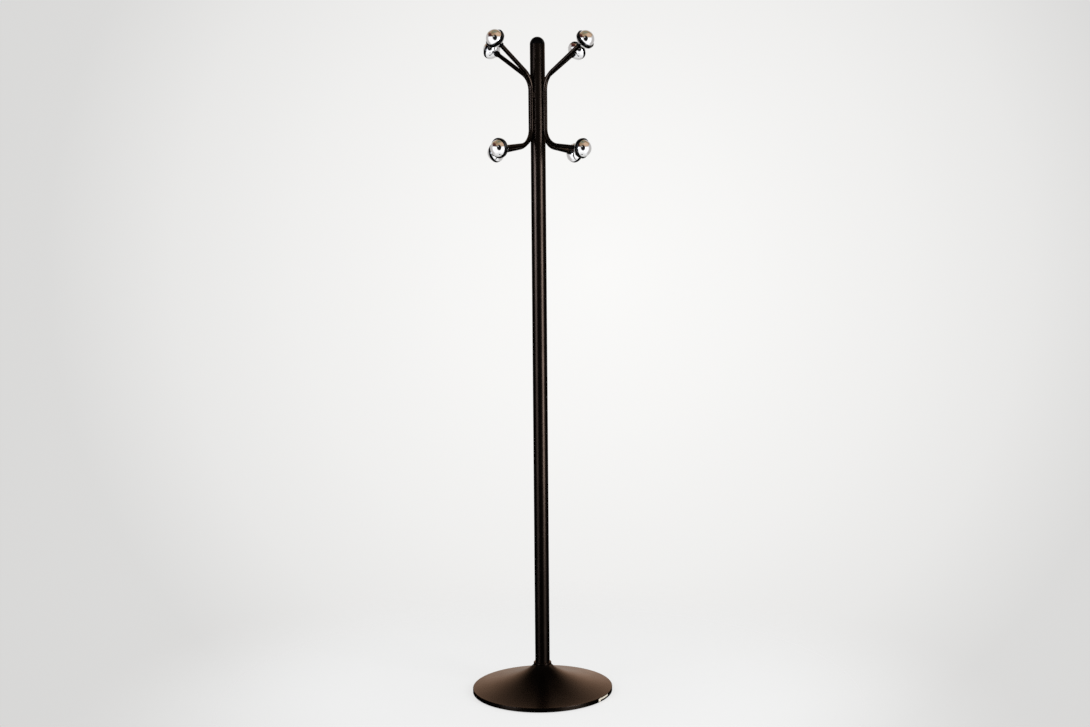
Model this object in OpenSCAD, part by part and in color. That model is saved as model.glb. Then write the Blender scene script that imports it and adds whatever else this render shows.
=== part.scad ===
// Standing coat rack: a round weighted foot with a flared cover, one slim column, and four bent
// rods around its top, each with a knob at its upper and its lower end.
// Millimetres. The floor is z = 0, the column's axis is x = y = 0 and the front is -y.

/* [Column] */
// height of the column's domed top above the floor
column_top = 1700; // [1450:10:1900]
// outside diameter of the column tube
column_d = 38; // [32:1:45]
// wall thickness of the column tube
column_wall = 1.5; // [1:0.25:2.5]

/* [Foot] */
// outside diameter of the flared foot
foot_d = 367; // [320:1:460]
// height of the upright rim around the foot
rim_h = 12.5; // [11.5:0.5:18]
// height at which the flare meets the neck collar
flare_top = 72; // [60:1:100]
// how the flare leaves the neck: 0 is upright, more is flatter
flare_start = 0.3; // [0.1:0.05:0.6]
// fall of the flare: 1 is steepest at the rim, more is flatter there
flare_power = 1.06; // [1:0.02:1.5]
// thickness of the foot's sheet metal
sheet = 1.5; // [1:0.25:2]
// height of the neck collar
neck_h = 6.5; // [5:0.5:20]
// how far the neck collar stands out from the column
neck_out = 4.2; // [2.4:0.2:5]
// diameter of the cast weight inside the foot
weight_d = 290; // [220:2:300]
// thickness of the cast weight away from its middle
weight_t = 8; // [5:0.5:9]

/* [Arms] */
// diameter of the bent rods
rod_d = 11; // [8:0.5:12]
// reach from the column's axis to an upper knob
upper_reach = 160; // [145:1:220]
// height of the column's top above an upper knob
upper_drop = 18.5; // [0:0.5:60]
// angle of the upper arms above the horizontal, in degrees
upper_rise = 32.6; // [24:0.2:45]
// centre-line radius of the upper bends
upper_bend = 54; // [30:1:70]
// reach from the column's axis to a lower knob
lower_reach = 149.5; // [140:0.5:220]
// height of an upper knob above a lower knob
knob_spacing = 268; // [250:1:340]
// angle of the lower arms below the horizontal, in degrees
lower_fall = 6.8; // [0:0.2:15]
// centre-line radius of the lower bends
lower_bend = 44; // [30:1:60]

/* [Knobs] */
// diameter of the black band at its front edge
band_d = 50.6; // [46:0.2:60]
// thickness of the black band
band_t = 8.4; // [6:0.2:12]
// diameter of the front dome where it meets the band
dome_d = 43.8; // [38:0.2:45]
// height of the front dome
dome_h = 19.6; // [14:0.2:21]
// diameter of the back dome where it meets the band
back_d = 48; // [44:0.2:49]
// height of the back dome
back_h = 13.2; // [11:0.2:18]
// thickness of the knobs' chromed shells
shell_t = 1.2; // [0.8:0.1:2]
// diameter of the collar where the rod enters a knob
collar_d = 15; // [14:0.2:18]
// length of that collar beyond the back dome
collar_h = 8; // [4:0.5:14]

/* [Blank strip] */
// angle along the rim that the blank strip covers
strip_angle = 15; // [6:1:30]
// direction of the strip's middle, measured from +x towards the back
strip_at = -35; // [-80:0.5:80]
// height of the strip
strip_h = 8; // [3:0.5:8]

/* [Hidden] */
$fn = 96;
fit = 0.2;
thread_fit = 0.1;
column_r = column_d / 2;
bore_r = column_r - column_wall;
rod_r = rod_d / 2;
rod_x = column_r + rod_r + fit;
foot_r = foot_d / 2;
neck_r = column_r + neck_out;
// foot, from the floor up
pad_t = 1.5;
pad_w = 9;
plate_t = 2;
plate_r = foot_r - sheet - fit;
plate_top = pad_t + plate_t;
weight_top = plate_top + weight_t;
boss_r = column_r + 4;
boss_top = 40;
recess_r = 14;
recess_top = plate_top + 11;
bolt_r = 5;
bolt_head_r = 9.8;
bolt_head_h = 6.4;
washer_t = 2;
spring_washer_t = 2.2;
plug_h = 24;
bolt_top = boss_top + plug_h - 4;
rim_round = 1.4;
flare_steps = 24;
strip_t = 0.3;
strip_down = 0.2;
// column
cap_base = column_top - column_r;
spigot_h = 18;
spigot_t = 2;
// knobs, measured along the rod from the band's front face
dome_r = (pow(dome_d / 2, 2) + pow(dome_h, 2)) / (2 * dome_h);
back_r = (pow(back_d / 2, 2) + pow(back_h, 2)) / (2 * back_h);
hub_r = 9;
hub_end = -(band_t + back_h) + shell_t + 1.6;
rod_end = hub_end - fit;
spigot_front = 3;
stud_r = 3;
stud_in = 12;
// arms
upper_z = column_top - upper_drop;
lower_z = upper_z - knob_spacing;
upper_turn = 90 - upper_rise;
lower_turn = 90 - lower_fall;
upper_corner = upper_z - (upper_reach - rod_x) * tan(upper_rise);
lower_corner = lower_z + (lower_reach - rod_x) * tan(lower_fall);
upper_tangent = upper_bend * tan(upper_turn / 2);
lower_tangent = lower_bend * tan(lower_turn / 2);
straight_top = upper_corner - upper_tangent;
straight_low = lower_corner + lower_tangent;
upper_length = (upper_reach - rod_x) / cos(upper_rise) - upper_tangent + rod_end;
lower_length = (lower_reach - rod_x) / cos(lower_fall) - lower_tangent + rod_end;
// the rod is a hair thicker in its bends, and the straight lengths reach a little way into them
bend_swell = 0.03;
lap = 1;
weld_h = 16;
weld_r = 2.4;
weld_gap = 0.05;
// directions of the four arms
FRONT_RIGHT = -45;
BACK_RIGHT = 45;
BACK_LEFT = 135;
FRONT_LEFT = 225;
TURNS = [FRONT_RIGHT, BACK_RIGHT, BACK_LEFT, FRONT_LEFT];

LACQUER = "#17120f";
CHROME = "#c9cdd0";
BLACK = "#101010";
STEEL = "#8d9093";
IRON = "#4a4a4c";
PAPER = "#e6dcc4";

// ---------- foot ----------

// a point on the flare's outside: k = 0 at the neck, k = 1 at the rim
function flare_point(k) = [
    neck_r + (foot_r - rim_round - neck_r) * (flare_start * k + (1 - flare_start) * k * k),
    rim_h + (flare_top - rim_h) * pow(1 - k, flare_power)
];

// the direction along the flare at k, one unit long
function flare_way(k) =
    let (dr = (foot_r - rim_round - neck_r) * (flare_start + 2 * (1 - flare_start) * k))
    let (dz = -flare_power * (flare_top - rim_h) * pow(1 - k, flare_power - 1))
    [dr, dz] / norm([dr, dz]);

// the matching point on the flare's inside
function inside_point(k) =
    flare_point(k) + sheet * [flare_way(k)[1], -flare_way(k)[0]];

module foot_cover() {
    outside = [for (i = [0 : flare_steps]) flare_point(i / flare_steps)];
    inside = [for (i = [flare_steps - 1 : -1 : 1]) inside_point(i / flare_steps)];
    neck_edge = [[neck_r - sheet, flare_top]];
    rim = [
        [foot_r - rim_round * 0.3, rim_h - rim_round * 0.3],
        [foot_r, rim_h - rim_round],
        [foot_r, pad_t],
        [foot_r - sheet, pad_t],
        [foot_r - sheet, rim_h - sheet - 0.4]
    ];
    color(LACQUER)
        rotate_extrude()
            polygon(concat(outside, rim, inside, neck_edge));
}

module neck_collar() {
    low = flare_top + 0.05;
    color(LACQUER)
        rotate_extrude()
            polygon([
                [column_r + fit, low],
                [neck_r - 0.8, low],
                [neck_r, low + 1],
                [neck_r, low + neck_h - 1.6],
                [neck_r - 0.5, low + neck_h - 0.5],
                [neck_r - 1.4, low + neck_h],
                [column_r + fit, low + neck_h]
            ]);
}

module foot_weight() {
    color(IRON)
        difference() {
            union() {
                translate([0, 0, plate_top])
                    cylinder(h = weight_t, d = weight_d);
                translate([0, 0, weight_top])
                    cylinder(h = boss_top - weight_top, r = boss_r);
            }
            translate([0, 0, plate_top - 1])
                cylinder(h = recess_top - plate_top + 1, r = recess_r);
            translate([0, 0, recess_top - 1])
                cylinder(h = boss_top - recess_top + 2, r = bolt_r + fit);
        }
}

module floor_plate() {
    color(STEEL)
        translate([0, 0, pad_t])
            difference() {
                cylinder(h = plate_t, r = plate_r);
                translate([0, 0, -1])
                    cylinder(h = plate_t + 2, r = recess_r);
            }
}

module floor_pad() {
    color(BLACK)
        difference() {
            cylinder(h = pad_t, r = plate_r - 2);
            translate([0, 0, -1])
                cylinder(h = pad_t + 2, r = plate_r - 2 - pad_w);
        }
}

module foot_bolt() {
    head_top = recess_top - washer_t - spring_washer_t;
    color(STEEL) {
        translate([0, 0, head_top - bolt_head_h])
            cylinder(h = bolt_head_h, r = bolt_head_r, $fn = 6);
        translate([0, 0, head_top])
            cylinder(h = bolt_top - head_top, r = bolt_r);
    }
}

module flat_washer() {
    color(STEEL)
        translate([0, 0, recess_top - washer_t])
            difference() {
                cylinder(h = washer_t, r = 2 * bolt_r);
                translate([0, 0, -1])
                    cylinder(h = washer_t + 2, r = bolt_r + fit);
            }
}

module spring_washer() {
    color(STEEL)
        translate([0, 0, recess_top - washer_t - spring_washer_t])
            difference() {
                cylinder(h = spring_washer_t, r = bolt_r + 4);
                translate([0, 0, -1])
                    cylinder(h = spring_washer_t + 2, r = bolt_r + fit);
                // the split of the washer
                translate([0, -0.6, -1])
                    cube([2 * bolt_r, 1.2, spring_washer_t + 2]);
            }
}

module column_plug() {
    color(STEEL)
        translate([0, 0, boss_top])
            difference() {
                cylinder(h = plug_h, r = bore_r - fit / 2);
                translate([0, 0, -1])
                    cylinder(h = plug_h + 2, r = bolt_r + thread_fit);
            }
}

module rim_strip() {
    color(PAPER)
        rotate([0, 0, strip_at - strip_angle / 2])
            rotate_extrude(angle = strip_angle)
                translate([foot_r + 0.02, rim_h - rim_round - strip_down - strip_h])
                    square([strip_t, strip_h]);
}

// ---------- column ----------

module column_tube() {
    color(LACQUER)
        translate([0, 0, boss_top])
            difference() {
                cylinder(h = cap_base - boss_top, r = column_r);
                translate([0, 0, -1])
                    cylinder(h = cap_base - boss_top + 2, r = bore_r);
            }
}

module column_cap() {
    color(BLACK)
        difference() {
            union() {
                translate([0, 0, cap_base])
                    intersection() {
                        sphere(r = column_r);
                        cylinder(h = column_r + 1, r = column_r + 1);
                    }
                translate([0, 0, cap_base - spigot_h])
                    cylinder(h = spigot_h, r = bore_r - fit / 2);
            }
            translate([0, 0, cap_base - spigot_h - 1])
                cylinder(h = spigot_h + 1, r = bore_r - spigot_t);
        }
}

// ---------- arms ----------

// a bend of the rod in the x-z plane, from angle a1 to a2 about its centre
module bend(centre_x, centre_z, radius, a1, a2) {
    translate([centre_x, 0, centre_z])
        rotate([90, 0, 0])
            rotate([0, 0, a1])
                rotate_extrude(angle = a2 - a1)
                    translate([radius, 0])
                        circle(d = rod_d + 2 * bend_swell);
}

// one bent rod, standing in the x-z plane on the +x side
module rod() {
    bend_x = rod_x + upper_bend;
    low_x = rod_x + lower_bend;
    upper_end_x = bend_x - upper_bend * cos(upper_turn);
    upper_end_z = straight_top + upper_bend * sin(upper_turn);
    lower_end_x = low_x - lower_bend * cos(lower_turn);
    lower_end_z = straight_low - lower_bend * sin(lower_turn);
    difference() {
        union() {
            translate([rod_x, 0, straight_low - lap])
                cylinder(h = straight_top - straight_low + 2 * lap, d = rod_d);
            bend(bend_x, straight_top, upper_bend, 180 - upper_turn, 180);
            bend(low_x, straight_low, lower_bend, 180, 180 + lower_turn);
            translate([upper_end_x, 0, upper_end_z])
                rotate([0, upper_turn, 0])
                    translate([0, 0, -lap])
                        cylinder(h = upper_length + lap, d = rod_d);
            translate([lower_end_x, 0, lower_end_z])
                rotate([0, 90 + lower_fall, 0])
                    translate([0, 0, -lap])
                        cylinder(h = lower_length + lap, d = rod_d);
        }
        upper_place()
            stud_hole(rod_end - stud_in, rod_end + 1);
        lower_place()
            stud_hole(rod_end - stud_in, rod_end + 1);
    }
}

// a hole for a knob's stud, between two heights along the knob's axis
module stud_hole(from, to) {
    translate([0, 0, from])
        cylinder(h = to - from, r = stud_r + thread_fit);
}

// four beads that join one rod to the column
module beads() {
    for (z = [straight_low + 6, straight_top - 6 - weld_h])
        for (side = [-1, 1])
            translate([0, 0, z])
                difference() {
                    translate([column_r + 1.1, side * (rod_r - 1.1), 0])
                        cylinder(h = weld_h, r = weld_r);
                    translate([0, 0, -1])
                        cylinder(h = weld_h + 2, r = column_r + weld_gap);
                    translate([rod_x, 0, -1])
                        cylinder(h = weld_h + 2, r = rod_r + weld_gap);
                }
}

module arm_front_right() { color(LACQUER) rotate([0, 0, FRONT_RIGHT]) rod(); }
module arm_back_right() { color(LACQUER) rotate([0, 0, BACK_RIGHT]) rod(); }
module arm_back_left() { color(LACQUER) rotate([0, 0, BACK_LEFT]) rod(); }
module arm_front_left() { color(LACQUER) rotate([0, 0, FRONT_LEFT]) rod(); }

module arm_welds() {
    color(LACQUER)
        for (turn = TURNS)
            rotate([0, 0, turn])
                beads();
}

// ---------- knobs ----------

// puts a knob drawn along +z, band's front face at z = 0, on the end of an arm in the x-z plane
module upper_place() {
    translate([upper_reach, 0, upper_z])
        rotate([0, 90 - upper_rise, 0])
            children();
}

module lower_place() {
    translate([lower_reach, 0, lower_z])
        rotate([0, 90 + lower_fall, 0])
            children();
}

module upper(turn) {
    rotate([0, 0, turn])
        upper_place()
            children();
}

module lower(turn) {
    rotate([0, 0, turn])
        lower_place()
            children();
}

module dome() {
    color(CHROME)
        translate([0, 0, dome_h - dome_r])
            difference() {
                intersection() {
                    sphere(r = dome_r);
                    translate([0, 0, dome_r - dome_h])
                        cylinder(h = 2 * dome_r, r = dome_r + 1);
                }
                sphere(r = dome_r - shell_t);
            }
}

module back() {
    color(CHROME)
        translate([0, 0, back_r - back_h - band_t])
            difference() {
                intersection() {
                    sphere(r = back_r);
                    translate([0, 0, back_h - back_r - 2 * back_r])
                        cylinder(h = 2 * back_r, r = back_r + 1);
                }
                sphere(r = back_r - shell_t);
                translate([0, 0, -back_r - 1])
                    cylinder(h = back_r, r = rod_r + 0.4);
            }
}

// radius inside the front dome at its open edge, less the fit
function spigot_r() =
    sqrt(pow(dome_r - shell_t, 2) - pow(dome_r - dome_h + spigot_front, 2)) - fit;

// the black middle of a knob: band, front spigot and the hub the stud screws into
module band() {
    edge = 0.8;
    r_front = band_d / 2;
    r_back = back_d / 2 + 0.1;
    color(BLACK)
        difference() {
            rotate_extrude()
                polygon([
                    [0, spigot_front],
                    [spigot_r(), spigot_front],
                    [spigot_r(), 0],
                    [r_front - edge, 0],
                    [r_front, -edge],
                    [r_front - 0.2, -band_t / 2],
                    [r_back, -band_t],
                    [hub_r, -band_t],
                    [hub_r, hub_end],
                    [0, hub_end]
                ]);
            stud_hole(hub_end - 1, hub_end + stud_in);
        }
}

module collar() {
    color(BLACK)
        difference() {
            translate([0, 0, -band_t - back_h - collar_h])
                cylinder(h = collar_h + 4, d = collar_d);
            translate([0, 0, -band_t - back_h - collar_h - 1])
                cylinder(h = collar_h + 6, r = rod_r + fit / 2);
            translate([0, 0, back_r - back_h - band_t])
                sphere(r = back_r + 0.1);
        }
}

module stud() {
    translate([0, 0, rod_end - stud_in + 0.5])
        cylinder(h = hub_end - rod_end + 2 * stud_in - 1, r = stud_r);
}

module knob_studs() {
    color(STEEL)
        for (turn = TURNS) {
            upper(turn) stud();
            lower(turn) stud();
        }
}

module upper_front_right_dome() { upper(FRONT_RIGHT) dome(); }
module upper_front_right_band() { upper(FRONT_RIGHT) band(); }
module upper_front_right_back() { upper(FRONT_RIGHT) back(); }
module upper_front_right_collar() { upper(FRONT_RIGHT) collar(); }
module upper_back_right_dome() { upper(BACK_RIGHT) dome(); }
module upper_back_right_band() { upper(BACK_RIGHT) band(); }
module upper_back_right_back() { upper(BACK_RIGHT) back(); }
module upper_back_right_collar() { upper(BACK_RIGHT) collar(); }
module upper_back_left_dome() { upper(BACK_LEFT) dome(); }
module upper_back_left_band() { upper(BACK_LEFT) band(); }
module upper_back_left_back() { upper(BACK_LEFT) back(); }
module upper_back_left_collar() { upper(BACK_LEFT) collar(); }
module upper_front_left_dome() { upper(FRONT_LEFT) dome(); }
module upper_front_left_band() { upper(FRONT_LEFT) band(); }
module upper_front_left_back() { upper(FRONT_LEFT) back(); }
module upper_front_left_collar() { upper(FRONT_LEFT) collar(); }
module lower_front_right_dome() { lower(FRONT_RIGHT) dome(); }
module lower_front_right_band() { lower(FRONT_RIGHT) band(); }
module lower_front_right_back() { lower(FRONT_RIGHT) back(); }
module lower_front_right_collar() { lower(FRONT_RIGHT) collar(); }
module lower_back_right_dome() { lower(BACK_RIGHT) dome(); }
module lower_back_right_band() { lower(BACK_RIGHT) band(); }
module lower_back_right_back() { lower(BACK_RIGHT) back(); }
module lower_back_right_collar() { lower(BACK_RIGHT) collar(); }
module lower_back_left_dome() { lower(BACK_LEFT) dome(); }
module lower_back_left_band() { lower(BACK_LEFT) band(); }
module lower_back_left_back() { lower(BACK_LEFT) back(); }
module lower_back_left_collar() { lower(BACK_LEFT) collar(); }
module lower_front_left_dome() { lower(FRONT_LEFT) dome(); }
module lower_front_left_band() { lower(FRONT_LEFT) band(); }
module lower_front_left_back() { lower(FRONT_LEFT) back(); }
module lower_front_left_collar() { lower(FRONT_LEFT) collar(); }

foot_cover();
neck_collar();
foot_weight();
floor_plate();
floor_pad();
foot_bolt();
flat_washer();
spring_washer();
column_plug();
column_tube();
column_cap();
rim_strip();
arm_front_right();
arm_back_right();
arm_back_left();
arm_front_left();
arm_welds();
knob_studs();
upper_front_right_dome();
upper_front_right_band();
upper_front_right_back();
upper_front_right_collar();
upper_back_right_dome();
upper_back_right_band();
upper_back_right_back();
upper_back_right_collar();
upper_back_left_dome();
upper_back_left_band();
upper_back_left_back();
upper_back_left_collar();
upper_front_left_dome();
upper_front_left_band();
upper_front_left_back();
upper_front_left_collar();
lower_front_right_dome();
lower_front_right_band();
lower_front_right_back();
lower_front_right_collar();
lower_back_right_dome();
lower_back_right_band();
lower_back_right_back();
lower_back_right_collar();
lower_back_left_dome();
lower_back_left_band();
lower_back_left_back();
lower_back_left_collar();
lower_front_left_dome();
lower_front_left_band();
lower_front_left_back();
lower_front_left_collar();
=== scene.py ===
"""Dresses a packed standing coat rack: lacquer, chromed knobs and a plain studio."""

import math
from functools import partial

import bmesh
import bpy
from bpy.props import FloatProperty, FloatVectorProperty, IntProperty, PointerProperty
from mathutils import Matrix, Vector


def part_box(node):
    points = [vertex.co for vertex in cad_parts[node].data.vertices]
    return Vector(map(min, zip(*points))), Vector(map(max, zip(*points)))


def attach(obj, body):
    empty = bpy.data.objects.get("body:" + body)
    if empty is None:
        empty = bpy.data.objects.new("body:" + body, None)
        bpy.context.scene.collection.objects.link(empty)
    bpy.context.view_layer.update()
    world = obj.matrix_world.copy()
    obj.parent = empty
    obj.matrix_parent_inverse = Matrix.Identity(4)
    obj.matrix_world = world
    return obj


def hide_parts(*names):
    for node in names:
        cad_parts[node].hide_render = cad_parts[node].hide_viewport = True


bl_info = {
    "name": "Coat Rack Dressing",
    "version": (1, 0, 0),
    "blender": (4, 5, 0),
    "location": "3D View > Sidebar > Coat Rack",
    "description": "Dresses a standing coat rack and sets up its studio",
    "category": "Object",
}

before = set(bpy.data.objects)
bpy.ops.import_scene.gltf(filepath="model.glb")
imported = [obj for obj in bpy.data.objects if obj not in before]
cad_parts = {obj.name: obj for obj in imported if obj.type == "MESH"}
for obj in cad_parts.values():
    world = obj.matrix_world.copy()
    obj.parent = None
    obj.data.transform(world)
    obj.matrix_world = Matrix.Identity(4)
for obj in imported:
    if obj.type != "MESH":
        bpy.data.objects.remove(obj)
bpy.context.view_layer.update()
MM = 0.001

COVER_LOW, COVER_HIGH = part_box("foot_cover")
NECK_LOW, NECK_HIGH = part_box("neck_collar")
TUBE_LOW, TUBE_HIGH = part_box("column_tube")
CAP_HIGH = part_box("column_cap")[1]
PLATE_LOW, PLATE_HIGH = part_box("floor_plate")
PAD_LOW, PAD_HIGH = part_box("floor_pad")

# direction of each arm, in degrees from +x towards +y
ARMS = {"front_right": -45, "back_right": 45, "back_left": 135, "front_left": 225}

ON_AXIS = 1e-7        # a point nearer than this to the axis lies on it
CREASE = 38           # degrees from which an edge of a new piece is sharp
CARRIED_CREASE = 30   # the same for a mesh carried over from the CAD
TUBE_WALL = 1.5 * MM
ROD_IN = 1.4 * MM     # from the inside of a knob's back shell to the rod's end
HUB_IN = 1.6 * MM     # the same to the hub's end
HUB_RADIUS = 9.0 * MM


# ---------- settings ----------

def length(name, text, value):
    """A length property in metres."""
    return FloatProperty(name=name, description=text, default=value, min=0.0, precision=4,
                         subtype="DISTANCE", unit="LENGTH")


def angle(name, text, degrees):
    """An angle property, stored in radians."""
    return FloatProperty(name=name, description=text, default=math.radians(degrees),
                         subtype="ANGLE", unit="ROTATION")


def colour(name, text, value):
    """A linear colour property."""
    return FloatVectorProperty(name=name, description=text, default=value, min=0.0, max=1.0,
                               size=3, subtype="COLOR")


def level(name, text, value, top=1.0):
    """A plain number from 0 to top."""
    return FloatProperty(name=name, description=text, default=value, min=0.0, max=top,
                         subtype="FACTOR" if top == 1.0 else "NONE")


class CoatRackFoot(bpy.types.PropertyGroup):
    """Sizes of the flared foot."""
    flare_start: level("Flare start", "How flat the flare leaves the neck; 0 is upright", 0.3)
    flare_power: level("Flare power", "Fall of the flare to the rim", 1.06, 2.0)
    rim_height: length("Rim height", "Height of the upright rim", 12.5 * MM)
    rim_round: length("Rim rounding", "Radius of its top edge", 1.4 * MM)
    sheet: length("Sheet", "Thickness of the pressed sheet", 1.5 * MM)
    strip_angle: angle("Strip angle", "Turn that the strip covers", 15.0)
    strip_at: angle("Strip direction", "Direction of the strip's middle", -35.0)


class CoatRackArms(bpy.types.PropertyGroup):
    """Sizes of the bent rods and their knobs."""
    rod: length("Rod", "Diameter of the bent rods", 11.0 * MM)
    rod_gap: length("Rod gap", "From a rod to the column", 0.2 * MM)
    upper_reach: length("Upper reach", "From the axis to an upper knob", 160.0 * MM)
    upper_drop: length("Upper drop", "From the top down to an upper knob", 18.5 * MM)
    upper_rise: angle("Upper rise", "Slope of the upper arms", 32.6)
    upper_bend: length("Upper bend", "Radius of the upper bends", 54.0 * MM)
    lower_reach: length("Lower reach", "From the axis to a lower knob", 149.5 * MM)
    knob_spacing: length("Knob spacing", "From a lower knob to the upper one", 268.0 * MM)
    lower_fall: angle("Lower fall", "Slope of the lower arms", 6.8)
    lower_bend: length("Lower bend", "Radius of the lower bends", 44.0 * MM)
    weld: length("Weld length", "Length of one bead beside a rod", 16.0 * MM)
    ripples: IntProperty(name="Weld ripples", description="Ripples along a bead", default=9, min=1)


class CoatRackKnob(bpy.types.PropertyGroup):
    """Sizes of one knob, along its own axis from the band's front face."""
    band: length("Band", "Diameter of the black band", 50.6 * MM)
    band_thick: length("Band thickness", "Thickness of the black band", 8.4 * MM)
    dome: length("Dome", "Diameter of the front dome", 43.8 * MM)
    dome_height: length("Dome height", "Height of the front dome", 19.6 * MM)
    back: length("Back dome", "Diameter of the back dome", 48.0 * MM)
    back_height: length("Back height", "Height of the back dome", 13.2 * MM)
    shell: length("Shell", "Thickness of the shells", 1.2 * MM)
    collar: length("Collar", "Diameter of the collar on the rod", 15.0 * MM)
    collar_height: length("Collar height", "Length of the collar", 8.0 * MM)


class CoatRackFinish(bpy.types.PropertyGroup):
    """Colours and gloss of the finishes."""
    lacquer: colour("Lacquer", "Brown-black lacquer with fine bronze", (0.053, 0.0385, 0.0305))
    lacquer_edge: colour("Lacquer edge", "The lacquer seen along its surface", (0.84, 0.69, 0.61))
    lacquer_rough: level("Lacquer roughness", "Roughness of the lacquer", 0.26)
    chrome: colour("Chrome", "Bright plated steel", (0.88, 0.88, 0.885))
    plastic: colour("Plastic", "Black moulded plastic", (0.0015, 0.0014, 0.0015))
    rubber: colour("Rubber", "Foam under the foot", (0.018, 0.018, 0.019))
    steel: colour("Steel", "Zinc-plated steel", (0.46, 0.47, 0.48))
    iron: colour("Iron", "Cast iron of the weight", (0.045, 0.044, 0.043))
    paper: colour("Paper", "Cream paper of the blank strip", (0.84, 0.76, 0.62))


class CoatRackStage(bpy.types.PropertyGroup):
    """Camera, floor and lamps."""
    lens: FloatProperty(name="Lens", description="Focal length", default=47.54, unit="CAMERA")
    shift: FloatProperty(name="Shift", description="Sideways shift of the frame", default=-0.0514)
    place: FloatVectorProperty(name="Camera", description="Place of the camera", size=3,
                               default=(-0.2504, -3.7077, 1.2034), subtype="XYZ", unit="LENGTH")
    heading: angle("Heading", "Turn of the view from +y towards +x", 6.301)
    dip: angle("Dip", "Fall of the view below the horizontal", 5.184)
    roll: angle("Roll", "Turn of the camera about its own axis", -0.267)
    floor: length("Floor", "Radius at which the floor has faded", 1.25)
    floor_glow: level("Floor glow", "White in the floor that the camera sees", 0.66)
    fill: level("Fill", "Brightness of the room", 0.50, 4.0)
    lamp_distance: length("Lamp distance", "From the column to the lamps", 2.3)
    lamp_width: length("Lamp width", "Width of the lamps", 0.85)
    lamps: level("Lamps", "Radiance of the lamps", 5.6, 50.0)


GROUPS = {
    "coat_rack_foot": CoatRackFoot,
    "coat_rack_arms": CoatRackArms,
    "coat_rack_knob": CoatRackKnob,
    "coat_rack_finish": CoatRackFinish,
    "coat_rack_stage": CoatRackStage,
}


# ---------- mesh helpers ----------

def rounded(corners, steps=5):
    """Points of a closed outline whose (x, y, radius) corners are turned into arcs."""
    points = []
    for index, (x, y, radius) in enumerate(corners):
        here = Vector((x, y))
        if radius <= 0:
            points.append((x, y))
            continue
        before = (Vector(corners[index - 1][:2]) - here).normalized()
        after = (Vector(corners[(index + 1) % len(corners)][:2]) - here).normalized()
        half = before.angle(after) / 2
        centre = here + (before + after).normalized() * (radius / math.sin(half))
        start = here + before * (radius / math.tan(half)) - centre
        end = here + after * (radius / math.tan(half)) - centre
        first = math.atan2(start.y, start.x)
        sweep = (math.atan2(end.y, end.x) - first + math.pi) % math.tau - math.pi
        for step in range(steps + 1):
            turn = first + sweep * step / steps
            points.append((centre.x + radius * math.cos(turn), centre.y + radius * math.sin(turn)))
    return points


def arc(radius, centre, start, end, steps):
    """Points of an arc about (0, centre) in the r-z plane; angles from +r, in radians."""
    return [(radius * math.cos(start + (end - start) * i / steps),
             centre + radius * math.sin(start + (end - start) * i / steps))
            for i in range(steps + 1)]


def circle(count):
    """Angles that share out a full turn."""
    return [math.tau * i / count for i in range(count)]


def add_rings(mesh, rings, closed=False):
    """Fills quads between neighbouring rings of vertices; a ring of one vertex is a pole."""
    for ring, following in zip(rings, rings[1:] + rings[:1] if closed else rings[1:]):
        count = max(len(ring), len(following))
        for i in range(count):
            j = (i + 1) % count
            corners = [ring[i % len(ring)], ring[j % len(ring)],
                       following[j % len(following)], following[i % len(following)]]
            face = list(dict.fromkeys(corners))
            if len(face) > 2:
                mesh.faces.new(face)


def finish_mesh(mesh, name, material, crease=CREASE):
    """Makes an object of a bmesh: outward faces, smooth shading and sharp creases."""
    bmesh.ops.recalc_face_normals(mesh, faces=mesh.faces)
    data = bpy.data.meshes.new(name)
    mesh.to_mesh(data)
    mesh.free()
    data.shade_smooth()
    data.set_sharp_from_angle(angle=math.radians(crease))
    data.materials.append(material)
    piece = bpy.data.objects.new(name, data)
    bpy.context.scene.collection.objects.link(piece)
    return piece


def lathe_rings(mesh, profile, turns, place=Matrix()):
    """Turns a profile of (r, z) points about z into rings of vertices."""
    rings = []
    for r, z in profile:
        if r < ON_AXIS:
            rings.append([mesh.verts.new(place @ Vector((0, 0, z)))])
            continue
        rings.append([mesh.verts.new(place @ Vector((r * math.cos(a), r * math.sin(a), z)))
                      for a in circle(turns)])
    return rings


def lathe(name, profile, material, turns, place=Matrix()):
    """A turned piece; a profile whose two ends lie on the axis isn't closed back on itself."""
    mesh = bmesh.new()
    rings = lathe_rings(mesh, profile, turns, place)
    open_ended = profile[0][0] < ON_AXIS and profile[-1][0] < ON_AXIS
    add_rings(mesh, rings, closed=not open_ended)
    return finish_mesh(mesh, name, material)


def stand_in(piece, slot, *nodes, slack=0.9 * MM):
    """Lets a piece stand for CAD nodes, once its box is seen to agree with theirs."""
    boxes = [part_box(node) for node in nodes]
    for axis in range(3):
        values = [vertex.co[axis] for vertex in piece.data.vertices]
        low = min(box[0][axis] for box in boxes)
        high = max(box[1][axis] for box in boxes)
        if abs(min(values) - low) > slack or abs(max(values) - high) > slack:
            raise RuntimeError(f"{piece.name} leaves the box of {nodes} on axis {axis}")
    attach(piece, "root")
    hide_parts(*nodes)
    return piece


# ---------- finishes ----------

def feed(tree, entry, value):
    """Gives an input a value, or links it where the value is another node's socket."""
    if isinstance(value, bpy.types.NodeSocket):
        tree.links.new(value, entry)
    else:
        entry.default_value = value


def put(tree, kind, inputs=None, **settings):
    """Adds a shader node with its settings and inputs."""
    made = tree.nodes.new("ShaderNode" + kind)
    for key, value in settings.items():
        setattr(made, key, value)
    for key, value in (inputs or {}).items():
        feed(tree, made.inputs[key], value)
    return made


def rgb(value):
    """A node colour from three numbers; a socket stays as it is."""
    return value if isinstance(value, bpy.types.NodeSocket) else tuple(value) + (1.0,)


def calc(tree, operation, first, second=0.0):
    """The output of a Math node."""
    return put(tree, "Math", {0: first, 1: second}, operation=operation).outputs[0]


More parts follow.
